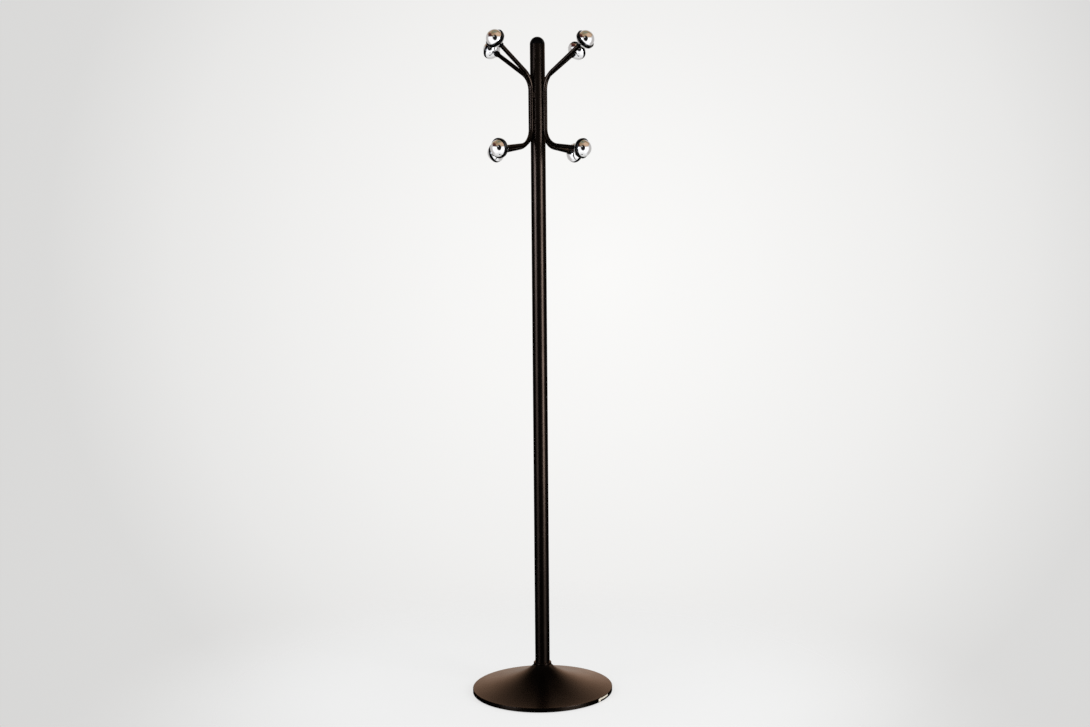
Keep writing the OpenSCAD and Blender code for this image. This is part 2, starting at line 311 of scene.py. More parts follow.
def ramp(tree, value, low, high, start=0.0, end=1.0, smooth=False):
    """Maps value from low..high to start..end, clamped."""
    return put(tree, "MapRange",
               {"Value": value, "From Min": low, "From Max": high, "To Min": start, "To Max": end},
               interpolation_type="SMOOTHSTEP" if smooth else "LINEAR").outputs["Result"]


def blend(tree, factor, first, second):
    """Mixes two colours, each a socket or three numbers."""
    inputs = {0: factor, 6: rgb(first), 7: rgb(second)}
    return put(tree, "Mix", inputs, data_type="RGBA").outputs[2]


def noise(tree, scale, detail=3.0, rough=0.5, stretch=None):
    """A noise pattern in the piece's own metres, stretched along its axes if asked."""
    where = put(tree, "TexCoord").outputs["Object"]
    if stretch is not None:
        where = put(tree, "Mapping", {"Vector": where, "Scale": stretch}).outputs[0]
    return put(tree, "TexNoise",
               {"Vector": where, "Scale": scale, "Detail": detail, "Roughness": rough}).outputs[0]


def bump(tree, height, strength, distance):
    """Bumps a surface by a height pattern; distance is in metres."""
    inputs = {"Strength": strength, "Distance": distance, "Height": height}
    return put(tree, "Bump", inputs).outputs[0]


def new_finish(name, tone=(0, 0, 0)):
    """Makes a material: gives its tree, its shader and its starting tone."""
    material = bpy.data.materials.new(name)
    material.use_nodes = True
    tree = material.node_tree
    return tree, tree.nodes["Principled BSDF"], Vector(tone)


def wire(tree, shader, **sockets):
    """Sets or links the shader's inputs; an underscore in a name stands for a space."""
    for key, value in sockets.items():
        feed(tree, shader.inputs[key.replace("_", " ")], value)


def lacquer(finish):
    """Brown-black stoved lacquer with fine bronze: faint clouds, orange peel and dust."""
    tree, shader, base = new_finish("stoved_lacquer", finish.lacquer)
    clouds = ramp(tree, noise(tree, 14.0, 4.0), 0.35, 0.7)
    body = blend(tree, clouds, base * 0.88, base * 1.14)
    facing = put(tree, "NewGeometry").outputs["Normal"]
    up = put(tree, "SeparateXYZ", {0: facing}).outputs["Z"]
    specks = ramp(tree, noise(tree, 900.0, 2.0), 0.62, 0.72)
    settled = calc(tree, "MULTIPLY", ramp(tree, up, 0.6, 1.0), specks)
    dust = calc(tree, "MULTIPLY", settled, 0.3)
    smears = noise(tree, 40.0, 5.0, 0.6, stretch=(1.0, 1.0, 0.25))
    rough = finish.lacquer_rough
    wire(tree, shader, Base_Color=blend(tree, dust, body, (0.10, 0.085, 0.07)),
         Roughness=ramp(tree, smears, 0.3, 0.75, rough * 0.92, rough * 1.14),
         Normal=bump(tree, noise(tree, 420.0, 2.0), 0.02, 0.00006),
         Metallic=1.0, Specular_Tint=rgb(finish.lacquer_edge))


def chrome(finish):
    """Bright plating: a clean mirror, with faint smudges and wiping marks."""
    tree, shader, base = new_finish("bright_chrome", finish.chrome)
    smudge = ramp(tree, noise(tree, 55.0, 4.0, 0.6), 0.5, 0.75)
    wipes = noise(tree, 260.0, 3.0, stretch=(0.15, 1.0, 1.0))
    clean = blend(tree, ramp(tree, wipes, 0.4, 0.8), base, base * 0.96)
    wire(tree, shader, Base_Color=blend(tree, smudge, clean, base * 0.92),
         Normal=bump(tree, wipes, 0.02, 0.00003), Metallic=1.0, Roughness=0.0)


def plastic(finish, name, rough, shine):
    """Black moulded plastic with a faint moulding grain."""
    tree, shader, base = new_finish(name, finish.plastic)
    scuffs = noise(tree, 180.0, 4.0, 0.65)
    wire(tree, shader, Base_Color=blend(tree, noise(tree, 30.0, 3.0), base * 0.8, base * 1.3),
         Roughness=ramp(tree, scuffs, 0.35, 0.8, rough * 0.9, rough * 1.5),
         Normal=bump(tree, noise(tree, 2200.0, 1.0), 0.06, 0.00004), Specular_IOR_Level=shine)


def rubber(finish):
    """Black foam with open cells, each painted darker in its middle as painted shade."""
    tree, shader, base = new_finish("black_foam", finish.rubber)
    where = put(tree, "TexCoord").outputs["Object"]
    cells = put(tree, "TexVoronoi", {"Vector": where, "Scale": 900.0}).outputs["Distance"]
    # painted shade: the colour is darkest at the middle of each cell, where the bump sinks the
    # foam, and lighter between them
    pore_shade = ramp(tree, cells, 0.1, 0.6)
    wire(tree, shader, Base_Color=blend(tree, pore_shade, base * 0.5, base * 1.4),
         Roughness=ramp(tree, noise(tree, 60.0), 0.3, 0.7, 0.8, 0.95),
         Normal=bump(tree, cells, 0.5, 0.0003))


def steel(finish):
    """Zinc-plated steel with its spangle and a little dulling."""
    tree, shader, base = new_finish("zinc_plate", finish.steel)
    where = put(tree, "TexCoord").outputs["Object"]
    spangle = put(tree, "TexVoronoi", {"Vector": where, "Scale": 160.0}).outputs["Color"]
    grey = put(tree, "SeparateColor", {0: spangle}).outputs[0]
    dull = ramp(tree, noise(tree, 35.0, 5.0, 0.6), 0.4, 0.7)
    tone = blend(tree, grey, base * 0.85, base * 1.12)
    wire(tree, shader, Base_Color=blend(tree, dull, tone, base * 0.7),
         Roughness=ramp(tree, dull, 0.0, 1.0, 0.28, 0.5),
         Normal=bump(tree, noise(tree, 700.0, 2.0, stretch=(1.0, 0.08, 1.0)), 0.08, 0.00008),
         Metallic=1.0)


def iron(finish):
    """Rough sand-cast iron with a coat of grey primer."""
    tree, shader, base = new_finish("cast_iron", finish.iron)
    grain = noise(tree, 400.0, 5.0, 0.7)
    wire(tree, shader, Base_Color=blend(tree, grain, base * 0.6, base * 1.5),
         Roughness=ramp(tree, grain, 0.3, 0.7, 0.6, 0.85),
         Normal=bump(tree, grain, 0.6, 0.0004))


def paper(finish):
    """Cream paper, a little foxed, with a plain dark band low down from near its left end."""
    tree, shader, base = new_finish("cream_paper", finish.paper)
    foxing = ramp(tree, noise(tree, 220.0, 4.0, 0.6), 0.5, 0.8)
    plain = blend(tree, foxing, base, base * 0.8)
    spot = put(tree, "SeparateXYZ", {0: put(tree, "TexCoord").outputs["Object"]}).outputs
    turn = calc(tree, "ARCTAN2", spot["Y"], spot["X"])
    foot = bpy.context.scene.coat_rack_foot
    bare_end, band_share = math.radians(2.6), 0.46
    left = foot.strip_at - foot.strip_angle / 2 + bare_end
    low, high = (corner.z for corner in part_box("rim_strip"))
    edge = low + (high - low) * band_share
    blur, blur_turn = 0.1 * MM, 0.001
    band = calc(tree, "MULTIPLY", ramp(tree, spot["Z"], edge - blur, edge + blur, 1.0, 0.0),
                ramp(tree, turn, left - blur_turn, left + blur_turn))
    ink = blend(tree, foxing, (0.006, 0.005, 0.005), (0.014, 0.012, 0.010))
    wire(tree, shader, Base_Color=blend(tree, band, plain, ink),
         Roughness=ramp(tree, noise(tree, 500.0), 0.3, 0.7, 0.55, 0.75),
         Normal=bump(tree, noise(tree, 2500.0, 2.0, stretch=(1.0, 1.0, 0.3)), 0.25, 0.00006),
         Specular_IOR_Level=0.2)


def finishes():
    """All materials by name; the coat rack's own are made once."""
    made = bpy.context.scene.coat_rack_finish
    if "stoved_lacquer" not in bpy.data.materials:
        for maker in (lacquer, chrome, rubber, steel, iron, paper):
            maker(made)
        plastic(made, "gloss_plastic", rough=0.16, shine=0.4)
        plastic(made, "satin_plastic", rough=0.24, shine=0.12)
    return bpy.data.materials


def recoat(finish_name, *nodes):
    """Gives carried-over CAD nodes a finish."""
    for name in nodes:
        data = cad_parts[name].data
        data.materials.clear()
        data.materials.append(finishes()[finish_name])
        data.shade_smooth()
        data.set_sharp_from_angle(angle=math.radians(CARRIED_CREASE))


# ---------- the foot ----------

def flare(sizes, share, inset=0.0):
    """A point on the flare, from the neck at 0 to the rim at 1, and inset into the sheet."""
    neck, rim = NECK_HIGH.x, COVER_HIGH.x - sizes.rim_round
    top, low = COVER_HIGH.z, sizes.rim_height
    start = sizes.flare_start
    here = Vector((neck + (rim - neck) * (start * share + (1 - start) * share ** 2),
                   low + (top - low) * (1 - share) ** sizes.flare_power))
    if inset:
        run = (rim - neck) * (start + 2 * (1 - start) * share)
        drop = -sizes.flare_power * (top - low) * (1 - share) ** (sizes.flare_power - 1)
        way = Vector((run, drop)).normalized()
        here += inset * Vector((way.y, -way.x))
    return tuple(here)


class COATRACK_OT_foot(bpy.types.Operator):
    """Turns the flared foot, its neck ring and the blank strip on its rim"""
    bl_idname = "coatrack.foot"
    bl_label = "Foot"

    def execute(self, context):
        sizes = context.scene.coat_rack_foot
        coats = finishes()
        self.dish(sizes, coats["stoved_lacquer"])
        self.neck_ring(coats["stoved_lacquer"])
        self.strip(sizes, coats["cream_paper"])
        return {"FINISHED"}

    def dish(self, sizes, coat):
        """The pressed cover: flare, rolled rim and the sheet's inner side."""
        steps, ease = 56, 0.4 * MM
        rim, low = COVER_HIGH.x, COVER_LOW.z
        outside = [flare(sizes, i / steps) for i in range(steps)]
        roll = arc(sizes.rim_round, sizes.rim_height - sizes.rim_round, math.pi / 2, 0, 7)
        edge = [(rim - sizes.rim_round + r, z) for r, z in roll]
        edge += [(rim, low + ease), (rim - ease, low), (rim - sizes.sheet, low)]
        edge += [(rim - sizes.sheet, sizes.rim_height - sizes.sheet - ease)]
        inside = [flare(sizes, i / steps, sizes.sheet) for i in range(steps - 1, 0, -1)]
        inside += [(NECK_HIGH.x - sizes.sheet, COVER_HIGH.z)]
        piece = lathe("foot_dish", outside + edge + inside, coat, turns=256)
        stand_in(piece, "lacquer", "foot_cover")

    def neck_ring(self, coat):
        """The ring where the column enters the foot, with rounded edges."""
        gap = 0.2 * MM
        inner, outer, low, high = TUBE_HIGH.x + gap, NECK_HIGH.x, NECK_LOW.z, NECK_HIGH.z
        outline = rounded([
            (inner, low, 0),
            (outer - 0.5 * MM, low, 0),
            (outer, low + 1.0 * MM, 0.5 * MM),
            (outer, high - 1.6 * MM, 0.8 * MM),
            (outer - 1.4 * MM, high, 0.6 * MM),
            (inner, high, 0.3 * MM),
        ])
        stand_in(lathe("neck_ring", outline, coat, turns=128), "lacquer", "neck_collar")

    def strip(self, sizes, coat):
        """The blank paper strip, wrapped around part of the rim."""
        low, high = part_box("rim_strip")
        glue, thick, soft, count = 0.02 * MM, 0.3 * MM, 0.1 * MM, 36
        inner = COVER_HIGH.x + glue
        outline = rounded([
            (inner, low.z, 0), (inner + thick, low.z, soft),
            (inner + thick, high.z, soft), (inner, high.z, 0),
        ], steps=2)
        mesh = bmesh.new()
        slices = []
        for i in range(count + 1):
            turn = sizes.strip_at + sizes.strip_angle * (i / count - 0.5)
            slices.append([mesh.verts.new((r * math.cos(turn), r * math.sin(turn), z))
                           for r, z in outline])
        add_rings(mesh, slices)
        mesh.faces.new(slices[0])
        mesh.faces.new(list(reversed(slices[-1])))
        stand_in(finish_mesh(mesh, "rim_paper", coat), "strip", "rim_strip")


class COATRACK_OT_underside(bpy.types.Operator):
    """Makes the floor plate, the foam ring and the bolt, and coats the parts inside the foot"""
    bl_idname = "coatrack.underside"
    bl_label = "Underside"

    def execute(self, context):
        coats = finishes()
        self.plate(coats["zinc_plate"])
        self.pad(coats["black_foam"])
        self.bolt(coats["zinc_plate"])
        recoat("zinc_plate", "flat_washer", "spring_washer", "column_plug", "knob_studs")
        recoat("cast_iron", "foot_weight")
        return {"FINISHED"}

    def plate(self, coat):
        """A round plate with two pressed rings and a rolled hole."""
        outer, low, high = PLATE_HIGH.x, PLATE_LOW.z, PLATE_HIGH.z
        hole, groove, half_mouth, half_floor = 14.0 * MM, 0.7 * MM, 4 * MM, 2 * MM
        under = [(hole, low, 0.5 * MM)]
        for middle in (60.0 * MM, 120.0 * MM):
            under += [(middle - half_mouth, low, 2 * MM),
                      (middle - half_floor, low + groove, 1 * MM),
                      (middle + half_floor, low + groove, 1 * MM),
                      (middle + half_mouth, low, 2 * MM)]
        outline = rounded(under + [(outer, low, 0.6 * MM), (outer, high, 0.3 * MM),
                                   (hole, high, 0.3 * MM)])
        stand_in(lathe("base_plate", outline, coat, turns=192), "steel", "floor_plate")

    def pad(self, coat):
        """A foam ring with soft edges."""
        outer, low, high = PAD_HIGH.x, PAD_LOW.z, PAD_HIGH.z
        width = 9.0 * MM
        inner = outer - width
        outline = rounded([(inner, low, 0.5 * MM), (outer, low, 0.5 * MM),
                           (outer, high, 0.2 * MM), (inner, high, 0.2 * MM)])
        stand_in(lathe("foam_ring", outline, coat, turns=192), "pad", "floor_pad")

    def bolt(self, coat):
        """A hexagon bolt with a chamfered head."""
        low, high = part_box("foot_bolt")
        across, shank, head, tall = high.x, 5.0 * MM, 6.4 * MM, high.z - low.z
        mesh = bmesh.new()

        def ring(limit, rise, six_sided):
            """A ring of the head or the shank: a circle, or a hexagon cut off by one."""
            step, points = math.pi / 3, []
            for a in circle(72):
                flat = across * math.cos(step / 2) / math.cos(a % step - step / 2)
                radius = min(flat, limit) if six_sided else limit
                points.append((radius * math.cos(a), radius * math.sin(a), low.z + rise))
            return [mesh.verts.new(point) for point in points]

        rings = [ring(*row) for row in (
            (4.5 * MM, 0.3 * MM, False), (4.9 * MM, 0.0, False), (across * 0.84, 0.0, False),
            (across * 0.92, 0.5 * MM, True), (across, 1.2 * MM, True),
            (across, head - 0.4 * MM, True), (across * 0.9, head, True),
            (shank + 0.4 * MM, head, False), (shank, head + 0.4 * MM, False),
            (shank, tall - 1.0 * MM, False), (shank - 1.0 * MM, tall, False))]
        rings.insert(0, [mesh.verts.new((0, 0, low.z + 0.3 * MM))])
        rings.append([mesh.verts.new((0, 0, high.z))])
        add_rings(mesh, rings)
        stand_in(finish_mesh(mesh, "foot_screw", coat, 25), "steel", "foot_bolt")


# ---------- the column ----------

class COATRACK_OT_column(bpy.types.Operator):
    """Turns the column tube and its domed cap"""
    bl_idname = "coatrack.column"
    bl_label = "Column"

    def execute(self, context):
        coats = finishes()
        radius, low, high = TUBE_HIGH.x, TUBE_LOW.z, TUBE_HIGH.z
        bore, bevel, parts = radius - TUBE_WALL, 0.1 * MM, 40
        outline = [(bore, low), (radius, low)]
        outline += [(radius, low + (high - low) * i / parts) for i in range(1, parts)]
        outline += [(radius, high - bevel), (radius - bevel, high), (bore, high)]
        tube = lathe("column_sleeve", outline, coats["stoved_lacquer"], turns=128)
        stand_in(tube, "lacquer", "column_tube")

        spigot, wall, length_in, roof = bore - 0.1 * MM, 2.0 * MM, 18.0 * MM, high - 1.0 * MM
        dome = arc(radius, high, math.radians(1.5), math.pi / 2, 36)
        dome[-1] = (0.0, CAP_HIGH.z)
        profile = [(0.0, roof), (spigot - wall, roof),
                   (spigot - wall, high - length_in), (spigot, high - length_in),
                   (spigot, high), (radius - bevel, high),
                   (radius - 0.03 * MM, high + 0.06 * MM)]
        cap = lathe("column_dome", profile + dome, coats["satin_plastic"], turns=128)
        stand_in(cap, "cap", "column_cap")
        return {"FINISHED"}


# ---------- the arms ----------

def rod_line(sizes, knob):
    """A rod's centre line in its own plane, from top to bottom, as (reach, height)."""
    axis = TUBE_HIGH.x + sizes.rod / 2 + sizes.rod_gap
    upper_z, lower_z = knob_height("upper", sizes), knob_height("lower", sizes)
    end = knob.band_thick + knob.back_height - knob.shell - ROD_IN
    bend_steps, arm_steps, middle_steps = 22, 8, 12
    points = []
    for reach, height, slope, bend, side in (
            (sizes.upper_reach, upper_z, sizes.upper_rise, sizes.upper_bend, 1),
            (sizes.lower_reach, lower_z, sizes.lower_fall, sizes.lower_bend, -1)):
        turn = math.pi / 2 - slope
        corner = height - side * (reach - axis) * math.tan(slope)
        tangent = corner - side * bend * math.tan(turn / 2)
        turned = [turn * i / bend_steps for i in range(bend_steps + 1)]
        curve = [Vector((axis + bend * (1 - math.cos(part)),
                         tangent + side * bend * math.sin(part))) for part in turned]
        way = Vector((math.cos(slope), side * math.sin(slope)))
        tip = Vector((reach, height)) - way * end
        straight = [curve[-1].lerp(tip, i / arm_steps) for i in range(1, arm_steps + 1)]
        points.append(curve + straight)
    upper, lower = points
    middle = [upper[0].lerp(lower[0], i / middle_steps) for i in range(1, middle_steps)]
    return list(reversed(upper)) + middle + lower


def knob_height(tier, sizes):
    """Height of a tier's knobs above the floor."""
    upper = CAP_HIGH.z - sizes.upper_drop
    return upper if tier == "upper" else upper - sizes.knob_spacing


class COATRACK_OT_arms(bpy.types.Operator):
    """Bends the four rods and lays the weld beads beside them"""
    bl_idname = "coatrack.arms"
    bl_label = "Arms"

    def execute(self, context):
        sizes = context.scene.coat_rack_arms
        coat = finishes()["stoved_lacquer"]
        line = rod_line(sizes, context.scene.coat_rack_knob)
        for name, direction in ARMS.items():
            mesh = bmesh.new()
            self.sweep(mesh, line, sizes.rod / 2, math.radians(direction))
            stand_in(finish_mesh(mesh, f"rod_{name}", coat), "lacquer", f"arm_{name}")
        self.welds(sizes, coat)
        return {"FINISHED"}

    def sweep(self, mesh, line, radius, direction):
        """A round rod along a line in the upright plane that looks in one direction."""
        out = Vector((math.cos(direction), math.sin(direction), 0))
        side = Vector((-math.sin(direction), math.cos(direction), 0))
        up = Vector((0, 0, 1))
        rings, angles = [], circle(40)
        for i, here in enumerate(line):
            way = (line[min(i + 1, len(line) - 1)] - line[max(i - 1, 0)]).normalized()
            normal = out * way.y - up * way.x
            middle = out * here.x + up * here.y
            rings.append([mesh.verts.new(middle + radius * (normal * math.cos(a)
                                                            + side * math.sin(a)))
                          for a in angles])
        add_rings(mesh, rings)
        mesh.faces.new(rings[0])
        mesh.faces.new(list(reversed(rings[-1])))

    def welds(self, sizes, coat):
        """Rippled beads in the corners between each rod and the column."""
        mesh = bmesh.new()
        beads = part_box("arm_welds")
        starts = (beads[0].z, beads[1].z - sizes.weld)
        sunk, bead, body, ripple = 1.1 * MM, 2.25 * MM, 0.8, 0.06
        reach, aside = TUBE_HIGH.x + sunk, sizes.rod / 2 - sunk
        steps, angles = 8 * sizes.ripples, circle(16)
        for direction in ARMS.values():
            turn = Matrix.Rotation(math.radians(direction), 4, "Z")
            for start in starts:
                for hand in (-1, 1):
                    rings = []
                    for i in range(steps + 1):
                        share = i / steps
                        past = max(0.0, abs(2 * share - 1) - body) / (1 - body)
                        ends = math.sqrt(max(0.0, 1 - past ** 2))
                        wave = 1 - ripple + ripple * math.cos(math.tau * share * sizes.ripples)
                        swell = bead * ends * wave
                        middle = Vector((reach, hand * aside, start + sizes.weld * share))
                        if swell < 0.001 * MM:
                            rings.append([mesh.verts.new(turn @ middle)])
                            continue
                        rings.append([mesh.verts.new(turn @ (middle + Vector((
                            swell * math.cos(a), swell * math.sin(a), 0)))) for a in angles])
                    add_rings(mesh, rings)
        stand_in(finish_mesh(mesh, "weld_beads", coat, 60), "lacquer", "arm_welds")


# ---------- the knobs ----------

def cap_radius(width, height):
    """Radius of the sphere whose cap has this width and height."""
    return (width ** 2 / 4 + height ** 2) / (2 * height)


class COATRACK_OT_knobs(bpy.types.Operator):
    """Turns the eight knobs: chromed front and back domes, a black band and a collar on the rod"""
    bl_idname = "coatrack.knobs"
    bl_label = "Knobs"

    def execute(self, context):
        sizes = context.scene.coat_rack_knob
        arms = context.scene.coat_rack_arms
        coats = finishes()
        shapes = {
            "dome": (self.dome(sizes), coats["bright_chrome"], "chrome"),
            "band": (self.band(sizes), coats["gloss_plastic"], "band"),
            "back": (self.back(sizes, arms), coats["bright_chrome"], "chrome"),
            "collar": (self.collar(sizes, arms), coats["gloss_plastic"], "band"),
        }
        for tier, reach, tilt in (("upper", arms.upper_reach, math.pi / 2 - arms.upper_rise),
                                  ("lower", arms.lower_reach, math.pi / 2 + arms.lower_fall)):
            for name, direction in ARMS.items():
                place = (Matrix.Rotation(math.radians(direction), 4, "Z")
                         @ Matrix.Translation((reach, 0, knob_height(tier, arms)))
                         @ Matrix.Rotation(tilt, 4, "Y"))
                for part, (profile, coat, slot) in shapes.items():
                    piece = lathe(f"{tier}_{name}_knob_{part}", profile, coat, 112, place)
                    stand_in(piece, slot, f"{tier}_{name}_{part}")
        return {"FINISHED"}

    def dome(self, sizes):
        """The front shell: a rounded dome with a turned-in edge."""
        radius, height = sizes.dome / 2, sizes.dome_height
        sphere = cap_radius(sizes.dome, height)
        low = math.asin((sphere - height) / sphere)
        inner = sphere - sizes.shell
        outer_arc = arc(sphere, height - sphere, math.pi / 2, low + 0.02, 40)
        inner_low = math.asin((sphere - height) / inner)
        inner_arc = arc(inner, height - sphere, inner_low + 0.02, math.pi / 2, 24)
        outer_arc[0], inner_arc[-1] = (0.0, height), (0.0, height - sizes.shell)
        edge = [(radius - 0.15 * MM, 0.0), (radius - sizes.shell + 0.1 * MM, 0.0)]
        return outer_arc + edge + inner_arc

    def band(self, sizes):
        """The moulded middle: a tapered band with soft edges, a front spigot and the hub."""
        sphere = cap_radius(sizes.dome, sizes.dome_height)
        spigot_z = 3.0 * MM
        spigot = math.sqrt((sphere - sizes.shell) ** 2
                           - (sphere - sizes.dome_height + spigot_z) ** 2) - 0.2 * MM
        front, rear, thick = sizes.band / 2, sizes.back / 2 + 0.1 * MM, sizes.band_thick
        hub_z = sizes.shell + HUB_IN - thick - sizes.back_height
        return rounded([
            (0.0, spigot_z, 0),
            (spigot, spigot_z, 0),
            (spigot, 0.0, 0),
            (front - 0.1 * MM, 0.0, 0.8 * MM),
            (front, -0.9 * MM, 0.4 * MM),
            (front - 0.2 * MM, -thick / 2, 4.0 * MM),
            (rear, -thick, 0.35 * MM),
            (HUB_RADIUS, -thick, 0),
            (HUB_RADIUS, hub_z, 0),
            (0.0, hub_z, 0),
        ])

    def back(self, sizes, arms):
        """The back shell: a shallow dome with a rolled hole for the rod."""
        radius, height = sizes.back / 2, sizes.back_height
        sphere = cap_radius(sizes.back, height)
        centre = sphere - height - sizes.band_thick
        hole = arms.rod / 2 + 0.4 * MM
        inner = sphere - sizes.shell
        rim = -math.asin((sphere - height) / sphere)
        outer_arc = arc(sphere, centre, rim - 0.01, -math.acos((hole + 0.3 * MM) / sphere), 36)
        inner_rim = -math.asin((sphere - height) / inner)
        inner_arc = arc(inner, centre, -math.acos((hole + 0.2 * MM) / inner), inner_rim - 0.01, 24)
        edge = [(hole, outer_arc[-1][1] + 0.3 * MM), (hole, inner_arc[0][1] - 0.2 * MM)]
        top = [(radius - sizes.shell, -sizes.band_thick), (radius - 0.1 * MM, -sizes.band_thick)]
        return outer_arc + edge + inner_arc + top

    def collar(self, sizes, arms):
        """The collar on the rod: chamfered at its end and cut to the dome."""
        height, gap = sizes.back_height, 0.1 * MM
        dome = cap_radius(sizes.back, height)
        sphere, centre = dome + gap, dome - height - sizes.band_thick
        outer, inner = sizes.collar / 2, arms.rod / 2 + gap
        end = -sizes.band_thick - height - sizes.collar_height
        seat = [(r, centre - math.sqrt(sphere ** 2 - r ** 2))
                for r in (inner, inner + (outer - inner) / 2, outer)]
        tail = rounded([(outer, seat[-1][1], 0), (outer, end, 0.9 * MM), (inner, end, 0.4 * MM),
                        (inner, seat[0][1], 0)])
        return seat[:-1] + tail[:-1]


# ---------- the studio ----------

def view_axes(stage):
    """The level directions towards the camera and to its right, as seen from the column."""
    towards = Vector((-math.sin(stage.heading), -math.cos(stage.heading), 0))
    return towards, Vector((math.cos(stage.heading), -math.sin(stage.heading), 0))


class Sky:
    """A world's node tree, with its directions as seen from the column."""

    def __init__(self, tree, stage):
        self.tree = tree
        self.calc, self.blend = partial(calc, tree), partial(blend, tree)
        self.look = put(tree, "TexCoord").outputs["Generated"]
        towards, right = view_axes(stage)
        # degrees to the right of the way to the camera, to either side of it, and above level
        self.turn = self.degrees("ARCTAN2", self.along(right), self.along(towards))
        self.aside = self.calc("ABSOLUTE", self.turn)
        self.height = self.degrees("ARCSINE", self.along((0, 0, 1)))

    def along(self, axis):
        """The part of a look that goes along an axis."""
        return put(self.tree, "VectorMath", {0: self.look, 1: axis},
                   operation="DOT_PRODUCT").outputs["Value"]

    def degrees(self, operation, *values):
        """The degrees of an operation that gives radians."""
        return self.calc("MULTIPLY", self.calc(operation, *values), 180 / math.pi)

    def fade(self, value, low, high, start=0.0, end=1.0):
        """A ramp that eases in and out."""
        return ramp(self.tree, value, low, high, start, end, smooth=True)

    def window(self, value, low, high, soft):
        """1 between low and high, falling to 0 over soft degrees outside them."""
        middle, half = (low + high) / 2, (high - low) / 2
        off = self.calc("ABSOLUTE", self.calc("SUBTRACT", value, middle))
        return self.fade(off, half, half + soft, 1.0, 0.0)

    def patch(self, base, shade, turns, heights, soft, mirrored=False):
        """Lays a shade over base where both windows are open; a mirrored one on both sides."""
        across = self.window(self.aside if mirrored else self.turn, *turns, soft)
        up = self.window(self.height, *heights, soft)
        return self.blend(self.calc("MULTIPLY", across, up), base, shade)

    def oval(self, across, up, wide, tall):
        """How far a look is from the middle of an oval, squared; 1 on its edge."""
        def part(value, at, half):
            off = self.calc("DIVIDE", self.calc("SUBTRACT", value, at), half)
            return self.calc("POWER", off, 2.0)
        return self.calc("ADD", part(self.turn, across, wide), part(self.height, up, tall))


